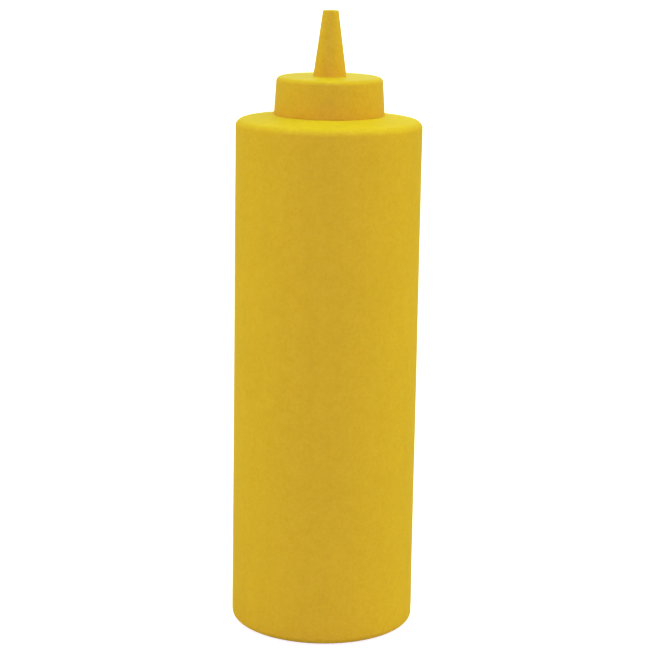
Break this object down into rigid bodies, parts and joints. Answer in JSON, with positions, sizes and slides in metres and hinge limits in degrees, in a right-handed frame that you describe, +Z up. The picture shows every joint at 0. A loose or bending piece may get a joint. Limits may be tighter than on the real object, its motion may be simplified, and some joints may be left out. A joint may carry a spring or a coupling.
{
  "type": "squeeze bottle",
  "caption": "Opaque round squeeze bottle for sauces, straight-sided with a rounded shoulder edge, and a low screw cap with a conical nozzle in the middle.",
  "frame": {"origin": "middle of the standing ring, on the surface that the bottle stands on", "axes": "+Z up along the bottle's axis, from the base to the nozzle's tip"},
  "size_m": [0.07, 0.07, 0.2363],
  "materials": {
    "bottle_plastic": "matte",
    "cap_plastic": "satin"
  },
  "bodies": {
    "bottle": {"bottle": "bottle_plastic"},
    "cap_seal": {"cap_seal": "cap_plastic"},
    "cap": {"cap": "cap_plastic"}
  },
  "joints": [
    {"name": "cap_lift", "type": "slide", "parent": "bottle", "child": "cap_seal", "axis": [0, 0, 1], "range_m": [0, 0.01482]},
    {"name": "cap_turn", "type": "hinge", "parent": "cap_seal", "child": "cap", "pos_m": [0, 0, 0.1983], "axis": [0, 0, 1], "range_deg": [0, 1260]}
  ],
  "couplings": [
    {"joint": "cap_lift", "follows": "cap_turn", "m_per_rad": 0.00067376}
  ]
}
